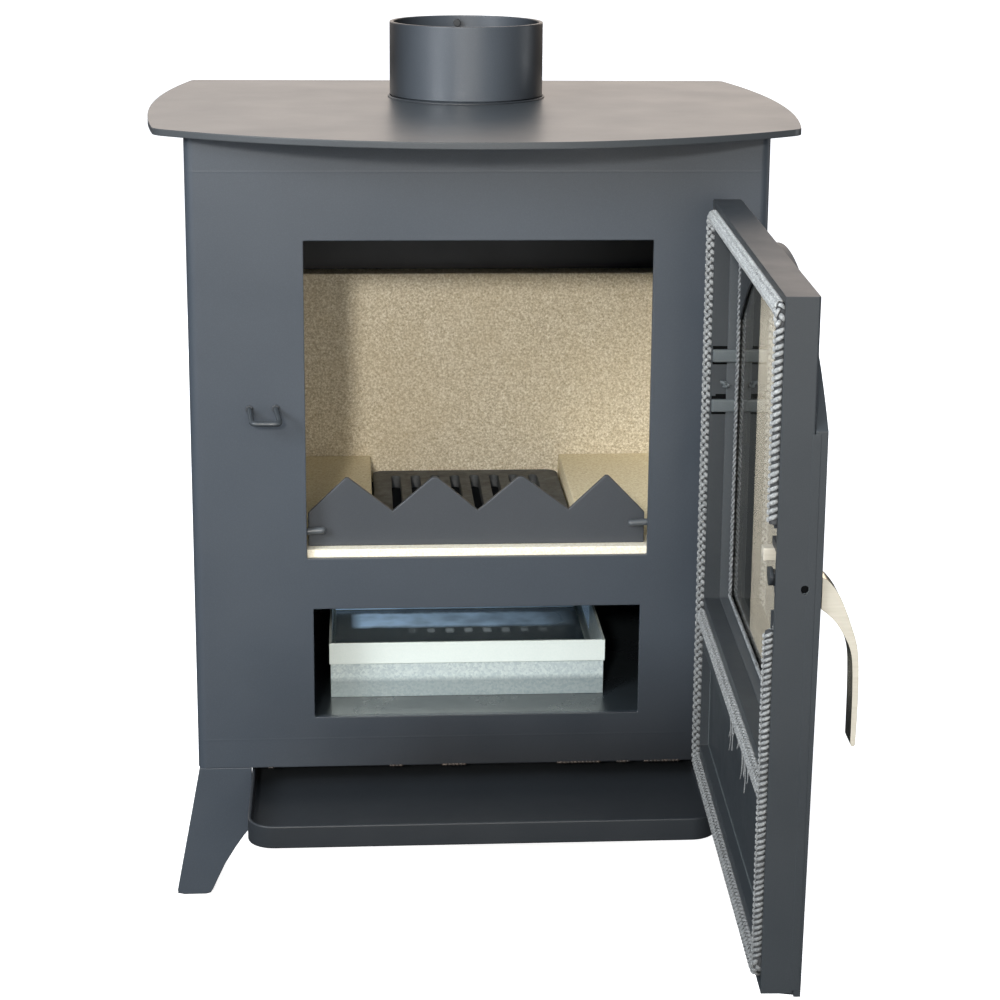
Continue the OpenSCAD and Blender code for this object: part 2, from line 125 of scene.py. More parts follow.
class Mat:
    """A small wrapper that keeps node building short."""

    def __init__(self, name):
        self.m = bpy.data.materials.new(name)
        self.m.use_nodes = True
        self.t = self.m.node_tree
        self.b = self.t.nodes["Principled BSDF"]
        self.coord = self.t.nodes.new("ShaderNodeTexCoord")

    def node(self, kind, **kw):
        n = self.t.nodes.new(kind)
        for k, v in kw.items():
            setattr(n, k, v)
        return n

    def link(self, a, b):
        self.t.links.new(a, b)

    def mapping(self, scale=(1, 1, 1), rot=(0, 0, 0)):
        mp = self.node("ShaderNodeMapping")
        self.link(self.coord.outputs["Object"], mp.inputs["Vector"])
        mp.inputs["Scale"].default_value = scale
        mp.inputs["Rotation"].default_value = rot
        return mp.outputs["Vector"]

    def noise(self, scale, detail=3, rough=0.5, vec=None, distortion=0.0):
        n = self.node("ShaderNodeTexNoise")
        n.inputs["Scale"].default_value = scale
        n.inputs["Detail"].default_value = detail
        n.inputs["Roughness"].default_value = rough
        n.inputs["Distortion"].default_value = distortion
        self.link(vec or self.coord.outputs["Object"], n.inputs["Vector"])
        return n.outputs["Fac"]

    def voronoi(self, scale, feature="F1", vec=None, randomness=1.0):
        n = self.node("ShaderNodeTexVoronoi", feature=feature)
        n.inputs["Scale"].default_value = scale
        n.inputs["Randomness"].default_value = randomness
        self.link(vec or self.coord.outputs["Object"], n.inputs["Vector"])
        return n

    def wave(self, scale, vec=None, distortion=0.0, direction="X"):
        n = self.node("ShaderNodeTexWave", bands_direction=direction)
        n.inputs["Scale"].default_value = scale
        n.inputs["Distortion"].default_value = distortion
        self.link(vec or self.coord.outputs["Object"], n.inputs["Vector"])
        return n.outputs["Fac"]

    def ramp(self, fac, stops):
        r = self.node("ShaderNodeValToRGB")
        el = r.color_ramp.elements
        while len(el) < len(stops):
            el.new(0.5)
        for e, (p, c) in zip(el, stops):
            e.position = p
            e.color = c if len(c) == 4 else (c[0], c[1], c[2], 1)
        self.link(fac, r.inputs["Fac"])
        return r.outputs["Color"]

    def rng(self, fac, a, b, lo=0.0, hi=1.0):
        r = self.node("ShaderNodeMapRange")
        r.inputs["From Min"].default_value = lo
        r.inputs["From Max"].default_value = hi
        r.inputs["To Min"].default_value = a
        r.inputs["To Max"].default_value = b
        self.link(fac, r.inputs["Value"])
        return r.outputs["Result"]

    def math(self, op, a, b=None):
        n = self.node("ShaderNodeMath", operation=op)
        for i, v in enumerate((a, b)):
            if v is None:
                continue
            if isinstance(v, (int, float)):
                n.inputs[i].default_value = v
            else:
                self.link(v, n.inputs[i])
        return n.outputs[0]

    def mix(self, fac, a, b, mode="MIX"):
        n = self.node("ShaderNodeMix", data_type="RGBA", blend_type=mode)
        if isinstance(fac, (int, float)):
            n.inputs["Factor"].default_value = fac
        else:
            self.link(fac, n.inputs["Factor"])
        for k, v in (("A", a), ("B", b)):
            s = [i for i in n.inputs if i.name == k and i.type == "RGBA"][0]
            if isinstance(v, tuple):
                s.default_value = v
            else:
                self.link(v, s)
        return [o for o in n.outputs if o.type == "RGBA"][0]

    def xyz(self):
        s = self.node("ShaderNodeSeparateXYZ")
        self.link(self.coord.outputs["Object"], s.inputs[0])
        return s.outputs

    def color(self, c):
        if isinstance(c, tuple):
            self.b.inputs["Base Color"].default_value = c
        else:
            self.link(c, self.b.inputs["Base Color"])

    def rough(self, r):
        if isinstance(r, (int, float)):
            self.b.inputs["Roughness"].default_value = r
        else:
            self.link(r, self.b.inputs["Roughness"])

    def bump(self, layers, bevel=None):
        """layers: (height, strength, distance in metres)"""
        normal = None
        if bevel:
            bv = self.node("ShaderNodeBevel", samples=6)
            bv.inputs["Radius"].default_value = bevel
            normal = bv.outputs["Normal"]
        for h, s, dist in layers:
            n = self.node("ShaderNodeBump")
            n.inputs["Strength"].default_value = s
            n.inputs["Distance"].default_value = dist
            self.link(h, n.inputs["Height"])
            if normal is not None:
                self.link(normal, n.inputs["Normal"])
            normal = n.outputs["Normal"]
        if normal is not None:
            self.link(normal, self.b.inputs["Normal"])


def paint(name, base, rough=0.42, bevel=0.0012, vary=0.10, dust=0.0, peel=0.10, metal=0.0, roll=0.04, smear=0.06):
    m = Mat(name)
    lo = tuple(c * (1 - vary) for c in base[:3]) + (1,)
    hi = tuple(c * (1 + vary) for c in base[:3]) + (1,)
    big = m.noise(5.5, 4, 0.55)
    c = m.mix(m.rng(big, 0, 1, 0.3, 0.7), lo, hi)
    grit = m.noise(1400, 2, 0.6)
    c = m.mix(m.rng(grit, 0.0, 0.16, 0.45, 0.75), c, tuple(min(1, x * 1.9 + 0.01) for x in base[:3]) + (1,))
    if dust:
        d = m.noise(38, 6, 0.7)
        c = m.mix(m.rng(d, 0.0, dust, 0.5, 0.85), c, srgb(150, 142, 130))
    m.color(c)
    m.b.inputs["Metallic"].default_value = metal
    smudge = m.noise(16, 5, 0.6)
    m.rough(m.rng(smudge, rough - smear, rough + smear, 0.3, 0.7))
    m.bump([(m.noise(900, 3, 0.5), peel, 0.00025), (m.noise(26, 2, 0.5), roll, 0.0012)], bevel)
    return m


def make_materials():
    M = {}
    body = paint("body_paint", srgb(62, 69, 77), 0.43, vary=0.07)
    # painted shade: the foot of the front sheet is darker towards the hinge side, standing for the door's shadow and
    # the dark floor it reflects
    x, y, z = body.xyz()
    foot = body.math("MULTIPLY", body.rng(z, 1.0, 0.0, 0.112, 0.215), body.rng(x, 0.0, 1.0, -0.19, -0.03))
    foot = body.math("MULTIPLY", foot, body.rng(y, 1.0, 0.0, 0.0385, 0.0405))
    src = body.b.inputs["Base Color"].links[0].from_socket
    body.color(body.mix(body.math("MULTIPLY", foot, 0.85), src, srgb(17, 19, 22)))
    # two faint pressed lines that run across the front sheet
    lines = None
    for zl in (0.5822, 0.1312):
        dz = body.math("ABSOLUTE", body.math("SUBTRACT", z, zl))
        l = body.rng(dz, 1.0, 0.0, 0.0, 0.0011)
        lines = l if lines is None else body.math("MAXIMUM", lines, l)
    nb = body.node("ShaderNodeBump")
    nb.inputs["Strength"].default_value = 0.10
    nb.inputs["Distance"].default_value = 0.0006
    body.link(lines, nb.inputs["Height"])
    old = body.b.inputs["Normal"].links[0].from_socket
    body.link(old, nb.inputs["Normal"])
    body.link(nb.outputs["Normal"], body.b.inputs["Normal"])
    M["body"] = body.m
    # back panel: painted outside, dark inside the firebox, partly the steel's own dark and partly painted shade under
    # the baffle
    back = paint("back_paint", srgb(62, 69, 77), 0.43, vary=0.07)
    src = back.b.inputs["Base Color"].links[0].from_socket
    back.color(back.mix(back.rng(back.xyz()[1], 1.0, 0.0, 0.3578, 0.3590), src, srgb(16, 20, 25)))
    M["back"] = back.m
    M["top"] = paint("top_paint", srgb(64, 68, 71), 0.37, vary=0.04, peel=0.06, roll=0.004, smear=0.02).m
    M["door"] = paint("door_paint", srgb(46, 51, 55), 0.46, bevel=0.0007).m
    M["dark"] = paint("dark_paint", srgb(40, 44, 48), 0.46).m
    M["inner"] = paint("inner_steel", srgb(13, 15, 17), 0.6, dust=0.02).m
    M["weld"] = paint("weld_paint", srgb(58, 62, 66), 0.42, peel=0.3).m
    # painted shade: the lip tray takes a darker copy of the body paint
    M["tray"] = paint("tray_paint_shaded", srgb(38, 42, 46), 0.45, vary=0.06).m
    col = paint("collar_paint_shaded_sides", srgb(74, 80, 87), 0.36, vary=0.05)
    # painted shade: the collar darkens towards its sides, where it turns away from the view, standing for the dark room
    # it reflects
    lw = col.node("ShaderNodeLayerWeight")
    lw.inputs["Blend"].default_value = 0.5
    src = col.b.inputs["Base Color"].links[0].from_socket
    col.color(col.mix(col.rng(lw.outputs["Facing"], 0.0, 0.95, 0.06, 0.66), src, srgb(16, 19, 22)))
    M["collar"] = col.m
    M["peg"] = paint("peg_paint", srgb(80, 85, 89), 0.38, vary=0.06).m
    M["rod"] = paint("rod_paint", srgb(58, 63, 67), 0.24, vary=0.06).m
    # the clips' paint, also used for the painted highlights on the panel edges and the screw hole's rim
    M["clip"] = paint("clip_paint_and_highlight", srgb(82, 89, 92), 0.36, vary=0.12).m
    M["step"] = paint("step_paint", srgb(66, 71, 75), 0.4, vary=0.06).m
    # painted shadow: a near-black paint for the strips and discs that stand for shade beside the clips, under the screw
    # and in the screw hole
    hole = paint("gap_shadow", srgb(9, 10, 11), 0.9, vary=0.2)
    hole.b.inputs["Specular IOR Level"].default_value = 0.04
    M["gap"] = hole.m
    M["guard"] = paint("guard_steel", srgb(62, 66, 71), 0.42, vary=0.05).m

    m = Mat("tack_weld")
    m.color(m.mix(m.rng(m.noise(160, 4, 0.6), 0, 1, 0.35, 0.65), srgb(40, 39, 39), srgb(76, 67, 60)))
    m.rough(0.45)
    m.b.inputs["Metallic"].default_value = 0.6
    m.bump([(m.noise(700, 3, 0.6), 0.3, 0.0004)])
    M["tack"] = m.m

    # pressed vermiculite: pale cream with golden and grey flecks
    m = Mat("brick_board")
    base = m.ramp(m.noise(560, 5, 0.78), [(0.33, srgb(162, 149, 120)), (0.5, srgb(214, 204, 180)), (0.66, srgb(255, 250, 236))])
    v = m.voronoi(500)
    fleck = m.rng(v.outputs["Distance"], 1, 0, 0.0, 0.35)
    sep = m.node("ShaderNodeSeparateColor")
    m.link(v.outputs["Color"], sep.inputs[0])
    golden = m.math("MULTIPLY", fleck, m.rng(sep.outputs[0], 0, 0.75, 0.62, 1.0))
    grey = m.math("MULTIPLY", fleck, m.rng(sep.outputs[1], 0, 0.6, 0.72, 1.0))
    c = m.mix(golden, base, srgb(186, 156, 98))
    c = m.mix(grey, c, srgb(128, 122, 114))
    broad = m.noise(9, 3, 0.6)
    c = m.mix(m.rng(broad, 0.0, 0.30, 0.4, 0.75), c, srgb(204, 188, 154))
    m.color(c)
    m.rough(m.rng(m.noise(200, 3), 0.78, 0.95))
    m.bump([(m.noise(760, 4, 0.7), 0.5, 0.0006), (v.outputs["Distance"], 0.25, 0.0004)], 0.0010)
    M["brick"] = m.m
    # the bed slabs are paler than the walls: partly their own tone, partly painted light standing for the light bounced
    # inside the firebox
    m = Mat("bed_board")
    base = m.ramp(m.noise(520, 5, 0.72), [(0.30, srgb(206, 190, 152)), (0.5, srgb(238, 226, 192)), (0.72, srgb(255, 249, 226))])
    v = m.voronoi(560)
    fleck = m.rng(v.outputs["Distance"], 1, 0, 0.0, 0.35)
    c = m.mix(m.rng(fleck, 0, 0.45, 0.55, 0.9), base, srgb(206, 176, 118))
    m.color(c)
    m.rough(m.rng(m.noise(200, 3), 0.78, 0.95))
    m.bump([(m.noise(760, 4, 0.7), 0.5, 0.0006)], 0.0010)
    M["slab"] = m.m
    # painted light: the front strip is paler than the other boards, standing for the light that falls on its front face
    m = Mat("strip_board_painted_light")
    base = m.ramp(m.noise(520, 5, 0.72), [(0.30, srgb(226, 216, 190)), (0.5, srgb(246, 240, 220)), (0.72, srgb(255, 252, 240))])
    m.color(base)
    m.rough(0.9)
    m.bump([(m.noise(760, 4, 0.7), 0.4, 0.0005)], 0.0010)
    M["strip"] = m.m

    # braided glass fibre
    m = Mat("fibre_rope")
    c = m.ramp(m.noise(700, 4, 0.65), [(0.28, srgb(104, 108, 110)), (0.5, srgb(158, 162, 163)), (0.75, srgb(204, 207, 206))])
    c = m.mix(m.rng(m.noise(26, 4, 0.6), 0, 0.35, 0.45, 0.8), c, srgb(104, 105, 105))
    low = m.rng(m.xyz()[2], 0.62, 0.05, 0.14, 0.56)
    c = m.mix(low, c, srgb(70, 73, 75))
    m.color(c)
    m.rough(0.78)
    m.b.inputs["Sheen Weight"].default_value = 0.15
    m.b.inputs["Sheen Roughness"].default_value = 0.5
    m.bump([(m.noise(2600, 2, 0.6), 0.5, 0.0002)])
    M["rope"] = m.m
    m = Mat("glass_cord_fibre")
    m.color(m.ramp(m.noise(420, 3, 0.6), [(0.35, srgb(92, 96, 99)), (0.7, srgb(150, 154, 156))]))
    m.rough(0.85)
    m.bump([(m.noise(1800, 2), 0.4, 0.0002)])
    M["cordgrey"] = m.m
    # painted shade: a dark tube under the plait that shows as the shade in the gaps between the strands
    m = Mat("rope_strand_gap_shade")
    m.color(m.ramp(m.noise(500, 3), [(0.3, srgb(44, 46, 48)), (0.7, srgb(70, 72, 74))]))
    m.rough(0.95)
    m.bump([(m.noise(1500, 2), 0.4, 0.0002)])
    M["strand_gap_shade"] = m.m

    # clear ceramic glass, a little warm
    m = Mat("window_glass")
    lw = m.node("ShaderNodeLayerWeight")
    lw.inputs["Blend"].default_value = 0.5
    m.color(m.mix(m.rng(lw.outputs["Facing"], 0, 1, 0.55, 0.86), (0.93, 0.93, 0.92, 1), (0.26, 0.21, 0.125, 1)))
    m.b.inputs["Transmission Weight"].default_value = 1.0
    m.b.inputs["IOR"].default_value = 1.22
    m.rough(m.rng(m.noise(60, 3), 0.002, 0.010))
    m.bump([(m.noise(14, 2), 0.008, 0.0008)])
    # painted shade: the glass's edge faces take a flat dark grey-blue diffuse instead of what they would pass and
    # reflect
    tc = m.node("ShaderNodeTexCoord")
    dot = m.node("ShaderNodeVectorMath", operation="DOT_PRODUCT")
    m.link(tc.outputs["Normal"], dot.inputs[0])
    dot.inputs[1].default_value = tuple((DOOR.to_3x3() @ Vector((0, 1, 0))).normalized())
    ends = m.math("LESS_THAN", m.math("ABSOLUTE", dot.outputs["Value"]), 0.6)
    edge_shade = m.node("ShaderNodeBsdfDiffuse")
    edge_shade.inputs["Color"].default_value = (0.075, 0.080, 0.090, 1)
    mixer = m.node("ShaderNodeMixShader")
    outn = [n for n in m.m.node_tree.nodes if n.type == "OUTPUT_MATERIAL"][0]
    m.link(ends, mixer.inputs[0])
    m.link(m.b.outputs[0], mixer.inputs[1])
    m.link(edge_shade.outputs[0], mixer.inputs[2])
    m.link(mixer.outputs[0], outn.inputs["Surface"])
    M["glass"] = m.m

    # zinc-coated sheet with a fine, sparkling grain
    m = Mat("zinc_sheet")
    v = m.voronoi(620)
    sep = m.node("ShaderNodeSeparateColor")
    m.link(v.outputs["Color"], sep.inputs[0])
    c = m.mix(m.rng(sep.outputs[0], 0.0, 1.0, 0.1, 0.9), srgb(204, 220, 222), srgb(232, 245, 243))
    big = m.voronoi(60)
    sb = m.node("ShaderNodeSeparateColor")
    m.link(big.outputs["Color"], sb.inputs[0])
    c = m.mix(m.rng(sb.outputs[0], 0.0, 0.14), c, srgb(178, 196, 204))
    foot = m.rng(m.xyz()[2], 0.62, 0.0, 0.1615, 0.1665)
    c = m.mix(foot, c, srgb(96, 112, 118))
    m.color(c)
    m.b.inputs["Metallic"].default_value = 0.45
    m.rough(m.rng(sep.outputs[1], 0.28, 0.46))
    m.bump([(m.noise(900, 3, 0.6), 0.12, 0.0002)], 0.0006)
    M["zinc"] = m.m
    # inside of the pan: a glowing bluish painted reflection that fades to the right, painted shade below it, and a row
    # of painted light patches from the grate's slots
    m = Mat("pan_inside_painted_light")
    x, y, z = m.xyz()
    warp = m.rng(m.noise(60, 3, 0.6), -0.004, 0.004)
    yy = m.math("ADD", y, warp)
    streak = m.noise(1, 2, 0.5, vec=m.mapping((46, 46, 420)))
    fade = m.rng(x, 1.0, 0.30, -0.095, 0.075)
    band = m.math("MULTIPLY", m.rng(yy, 0, 1, 0.2480, 0.2560), m.rng(yy, 1, 0, 0.2860, 0.2920))
    band = m.math("MULTIPLY", band, m.math("MULTIPLY", m.rng(x, 0, 1, -0.100, -0.090), m.rng(x, 1, 0, 0.070, 0.100)))
    wall = m.rng(z, 0, 1, 0.1505, 0.1512)
    band = m.math("MAXIMUM", band, wall)
    tone = m.math("MULTIPLY", m.math("MULTIPLY", fade, band), m.rng(streak, 0.70, 1.25, 0.3, 0.7))
    slot_light_patches = m.math("SINE", m.math("MULTIPLY", m.math("ADD", x, 0.0501), 383.0))
    slot_light_patches = m.math("MULTIPLY", m.rng(slot_light_patches, 0, 1, -0.2, 0.7), m.math("MULTIPLY", m.rng(yy, 0, 1, 0.2320, 0.2380), m.rng(yy, 1, 0, 0.2440, 0.2490)))
    slot_light_patches = m.math("MULTIPLY", slot_light_patches, m.math("MULTIPLY", m.rng(x, 0, 0.28, -0.065, -0.015), m.rng(x, 1, 0.1, 0.02, 0.085)))
    c = m.mix(tone, srgb(26, 34, 40), srgb(170, 204, 236))
    c = m.mix(slot_light_patches, c, srgb(200, 214, 220))
    m.color(c)
    m.b.inputs["Metallic"].default_value = 0.2
    m.b.inputs["Emission Strength"].default_value = 0.36
    m.link(c, m.b.inputs["Emission Color"])
    m.rough(m.rng(m.noise(200, 3), 0.2, 0.3))
    m.bump([(m.noise(900, 2), 0.05, 0.0002)])
    M["painted_pan_light"] = m.m
    m = Mat("zinc_hem")
    c = m.mix(m.noise(700, 3, 0.6), srgb(232, 246, 242), srgb(246, 255, 251))
    m.color(c)
    m.b.inputs["Metallic"].default_value = 0.30
    m.rough(m.rng(m.noise(60, 3), 0.36, 0.5))
    m.bump([(m.noise(900, 2), 0.08, 0.0002)], 0.0006)
    M["hem"] = m.m

    m = Mat("cast_iron")
    c = m.ramp(m.noise(90, 5, 0.65), [(0.3, srgb(66, 69, 71)), (0.55, srgb(92, 95, 97)), (0.8, srgb(116, 118, 119))])
    m.color(c)
    m.b.inputs["Metallic"].default_value = 0.25
    m.rough(m.rng(m.noise(220, 3), 0.55, 0.75))
    m.bump([(m.noise(620, 4, 0.7), 0.35, 0.0007), (m.noise(90, 2), 0.15, 0.001)], 0.0015)
    M["iron"] = m.m

    m = Mat("plain_steel")
    c = m.mix(m.noise(300, 4, 0.6), srgb(120, 122, 124), srgb(172, 172, 170))
    m.color(c)
    m.b.inputs["Metallic"].default_value = 0.9
    m.rough(m.rng(m.noise(420, 3), 0.26, 0.42))
    m.bump([(m.noise(1200, 2), 0.1, 0.0002)], 0.0004)
    M["steel"] = m.m

    m = Mat("polished_lever")
    mp = m.mapping((1, 1, 14), (0, 0, 0))
    c = m.mix(m.noise(50, 3, 0.5, vec=mp), srgb(192, 186, 170), srgb(220, 215, 201))
    m.color(c)
    m.b.inputs["Metallic"].default_value = 0.25
    m.rough(m.rng(m.noise(90, 4, 0.6), 0.18, 0.26))
    m.bump([(m.noise(420, 2), 0.02, 0.0002)])
    M["lever"] = m.m
    m = Mat("polished_edge")
    m.color(m.mix(m.noise(60, 3, 0.5, vec=m.mapping((1, 1, 8))), srgb(196, 190, 166), srgb(232, 226, 206)))
    m.b.inputs["Metallic"].default_value = 1.0
    m.rough(m.rng(m.noise(90, 4, 0.6), 0.14, 0.22))
    m.bump([(m.noise(420, 2), 0.02, 0.0002)])
    M["lever_edge"] = m.m

    m = Mat("black_screw")
    m.color(m.mix(m.noise(400, 3), srgb(20, 21, 23), srgb(44, 46, 49)))
    m.b.inputs["Metallic"].default_value = 0.7
    m.rough(0.4)
    m.bump([(m.noise(900, 2), 0.15, 0.0002)])
    M["black"] = m.m

    ash = paint("ash_floor_steel", srgb(40, 46, 50), 0.30, vary=0.06, peel=0.03)
    M["ash"] = ash.m
    return M


M = make_materials()

LOOK = {
    "body_wrap": "body", "back_panel": "back", "base_plate": "dark", "top_plate": "top", "flue_collar": "collar",
    "flue_weld": "weld", "collar_screw": "dark", "leg_front_left": "body", "leg_front_right": "body",
    "leg_rear_left": "body", "leg_rear_right": "body", "ash_floor": "ash", "firebox_floor": "inner",
    "back_brick": "brick", "side_brick_left": "brick", "side_brick_right": "brick", "base_brick_left": "slab",
    "base_brick_right": "slab", "front_brick": "strip", "baffle_plate": "inner", "baffle_rails": "inner",
    "retainer_pegs": "guard", "latch_keeper": "dark", "keeper_welds": "weld", "base_tacks": "tack",
    "ash_lip_tray": "tray", "hinge_brackets": "door", "hinge_pins": "steel", "grate": "iron",
    "log_retainer": "guard", "ash_pan": "zinc", "pan_hem": "hem", "door_tray": "door", "seal_channel": "door",
    "crossbar": "door", "lower_panel": "door", "door_front_plate": "door", "door_knuckles": "door",
    "spindle_boss": "door", "glass": "glass", "glass_gasket": "rope", "glass_clips": "dark", "clip_screws": "dark",
    "rope_perimeter": "rope", "rope_crossbar": "rope", "grub_screw": "door", "handle_lever": "lever",
    "handle_spindle": "steel", "latch_hook": "dark", "hook_finger": "lever"}
for name, ob in N.items():
    ob.data.materials.clear()
    ob.data.materials.append(M[LOOK[name]])


# ------------------------------------------------------------------ mesh tools
def new_object(name, verts, faces, mat, body, smooth=None):
    me = bpy.data.meshes.new(name)
    me.from_pydata([tuple(v) for v in verts], [], faces)
    me.validate()
    bm = bmesh.new()
    bm.from_mesh(me)
    bmesh.ops.recalc_face_normals(bm, faces=bm.faces)
    bm.to_mesh(me)
    bm.free()
    return finish_object(name, me, mat, body, smooth)


def finish_object(name, me, mat, body, smooth=None):
    ob = bpy.data.objects.new(name, me)
    bpy.context.scene.collection.objects.link(ob)
    me.materials.append(M[mat])
    if smooth is not None:
        for p in me.polygons:
            p.use_smooth = True
        if smooth < 180:
            me.set_sharp_from_angle(angle=math.radians(smooth))
    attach(ob, body)
    return ob


def tube(path, radius, sides=10, closed=False, cap=True, normal=None):
    """Vertices and faces of a tube along points; radius is a number or a function of the index."""
    n = len(path)
    verts, faces = [], []
    prev = None
    for i, p in enumerate(path):
        a = path[i - 1] if (i > 0 or closed) else path[i]
        b = path[(i + 1) % n] if (i < n - 1 or closed) else path[i]
        t = (b - a).normalized()
        if normal is not None:
            u = normal - t * normal.dot(t)
        elif prev is None:
            h = Vector((0, 0, 1)) if abs(t.z) < 0.9 else Vector((1, 0, 0))
            u = h - t * h.dot(t)
        else:
            u = prev - t * prev.dot(t)
        u.normalize()
        prev = u
        w = t.cross(u)
        r = radius(i) if callable(radius) else radius
        for k in range(sides):
            an = 2 * math.pi * k / sides
            verts.append(p + (u * math.cos(an) + w * math.sin(an)) * r)
    m = n if closed else n - 1
    for i in range(m):
        for k in range(sides):
            a, b = i * sides + k, i * sides + (k + 1) % sides
            c, d = ((i + 1) % n) * sides + (k + 1) % sides, ((i + 1) % n) * sides + k
            faces.append((a, b, c, d))
    if cap and not closed:
        faces.append(tuple(range(sides))[::-1])
        faces.append(tuple((n - 1) * sides + k for k in range(sides)))
    return verts, faces


def merge(parts):
    verts, faces = [], []
    for v, f in parts:
        o = len(verts)
        verts += v
        faces += [tuple(i + o for i in q) for q in f]
    return verts, faces


def settle(ob, smooth):
    """Bake the modifiers, then weigh the normals by face area so that flat sheets stay flat."""
    for stage in (0, 1):
        dg = bpy.context.evaluated_depsgraph_get()
        done = bpy.data.meshes.new_from_object(ob.evaluated_get(dg))
        ob.modifiers.clear()
        ob.data = done
        if stage == 0:
            for p in done.polygons:
                p.use_smooth = True
            done.set_sharp_from_angle(angle=math.radians(smooth))
            wn = ob.modifiers.new("flat", "WEIGHTED_NORMAL")
            wn.weight = 80
            wn.keep_sharp = True


def mesh_area(me):
    me.calc_loop_triangles()
    return sum(t.area for t in me.loop_triangles)


def soft_copy(node, radius, segments=2, angle=32, mat=None, name=None, smooth=38, weld=1e-5):
    """The CAD node's own shape with its sharp edges rounded, standing for the node."""
    src = N[node]
    want = mesh_area(src.data)
    mt = mat or LOOK[node]
    for merged, width in ((True, radius), (False, radius), (False, 0.0)):
        bm = bmesh.new()
        bm.from_mesh(src.data)
        bmesh.ops.remove_doubles(bm, verts=bm.verts, dist=weld)
        if merged:
            bmesh.ops.dissolve_limit(bm, angle_limit=math.radians(0.6), verts=bm.verts, edges=bm.edges)
        me = bpy.data.meshes.new(name or node + "_soft")
        bm.to_mesh(me)
        bm.free()
        ob = finish_object(name or node + "_soft", me, mt, src["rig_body"])
        if width:
            mod = ob.modifiers.new("edge", "BEVEL")
            mod.width = width
            mod.segments = segments
            mod.limit_method = "ANGLE"
            mod.angle_limit = math.radians(angle)
            mod.use_clamp_overlap = True
            mod.miter_outer = "MITER_ARC"
        settle(ob, smooth)
        if 0.9 < mesh_area(ob.data) / want < 1.01:
            break
        if width:
            bpy.data.objects.remove(ob)
    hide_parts(node)
    return ob


# ------------------------------------------------------------------ ropes
def resample(points, step):
    """Even points along a polyline, in mm."""
    out = [points[0].copy()]
    carry = 0.0
    for a, b in zip(points[:-1], points[1:]):
        seg = (b - a).length
        if seg < 1e-9:
            continue
        t = step - carry
        while t <= seg:
            out.append(a.lerp(b, t / seg))
            t += step
        carry = (carry + seg) % step
    return out


def rounded_path(corners, r, start, end):
    """Polyline in (x, z) through corners with arcs of radius r."""
    pts = [Vector(start)]
    seq = [Vector(start)] + [Vector(c) for c in corners] + [Vector(end)]
    for i in range(1, len(seq) - 1):
        a, c, b = seq[i - 1], seq[i], seq[i + 1]
        da, db = (a - c).normalized(), (b - c).normalized()
        p0, p1 = c + da * r, c + db * r
        ctr = c + da * r + db * r
        for k in range(13):
            th = math.pi / 2 * k / 12
            pts.append(ctr + (p0 - ctr) * math.cos(th) + (p1 - ctr) * math.sin(th))
    pts.append(Vector(end))
    return pts


def woven(path, normal, step_mm, pitch=5.7, R=4.55, lift=0.45, cols=(-84, -42, 0, 42, 84), seed=0, rib=None):
    """Plaited rope that follows path (mm): short fat strand floats in columns, slanting left and right in turn."""
    rnd = random.Random(seed)
    count = len(path)
    length = (count - 1) * step_mm
    tang = []
    for i in range(count):
        tang.append((path[min(count - 1, i + 1)] - path[max(0, i - 1)]).normalized())

    def at(sx_, th, r):
        q = max(0.0, min(count - 1.001, sx_ / step_mm))
        i = int(q)
        k = q - i
        p = path[i].lerp(path[i + 1], k)
        t = tang[i].lerp(tang[i + 1], k).normalized()
        sd = t.cross(normal).normalized()
        rad = normal * math.cos(th) + sd * math.sin(th)
        return p + normal * lift + rad * r, rad, t, (-normal * math.sin(th) + sd * math.cos(th))
    verts, faces = [], []
    nu, nv = 7, 6
    for j, deg in enumerate(cols):
        phi = math.radians(deg)
        slant, hl0, hw0, lean = (1 if j % 2 else -1), 2.75, 1.72, 36
        if rib:
            slant, hl0, hw0, lean = rib[j]
        s0 = -pitch * 0.5 * (j % 2)
        while s0 < length + pitch * 0.3:
            s0 += pitch
            if s0 < 0.8 or s0 > length - 0.8:
                continue
            tilt = math.radians(lean + rnd.uniform(-5, 5)) * slant
            hl = hl0 * rnd.uniform(0.93, 1.07)
            hw = hw0 * rnd.uniform(0.92, 1.06)
            sc = s0 + rnd.uniform(-0.25, 0.25)
            base = len(verts)
            for iu in range(nu):
                t = -1 + 2 * iu / (nu - 1)
                h, ax = hl * t * math.cos(tilt), hl * t * math.sin(tilt)
                env = math.sqrt(max(0.05, 1 - t * t))
                c, rad, tn, hoop = at(sc + ax, phi + h / R, R - 0.75 + 0.75 * (1 - t * t))
                along = (hoop * math.cos(tilt) + tn * math.sin(tilt)).normalized()
                across = along.cross(rad).normalized()
                for iv in range(nv):
                    an = 2 * math.pi * iv / nv
                    verts.append(c + across * (hw * env ** 0.7 * math.cos(an)) + rad * (0.95 * env * math.sin(an)))
            for iu in range(nu - 1):
                for iv in range(nv):
                    p, q = base + iu * nv + iv, base + iu * nv + (iv + 1) % nv
                    faces.append((p, q, q + nv, p + nv))
            faces.append(tuple(base + iv for iv in range(nv))[::-1])
            faces.append(tuple(base + (nu - 1) * nv + iv for iv in range(nv)))
    return verts, faces


def door_verts(verts):
    """mm in closed-door space (x, y from the front sheet, z) to metres at rest."""
    return [DOOR @ Vector((v.x / 1000, (v.y + FY) / 1000, v.z / 1000)) for v in verts]


YN = Vector((0, 1, 0))       # out of the door's inner face, towards the firebox


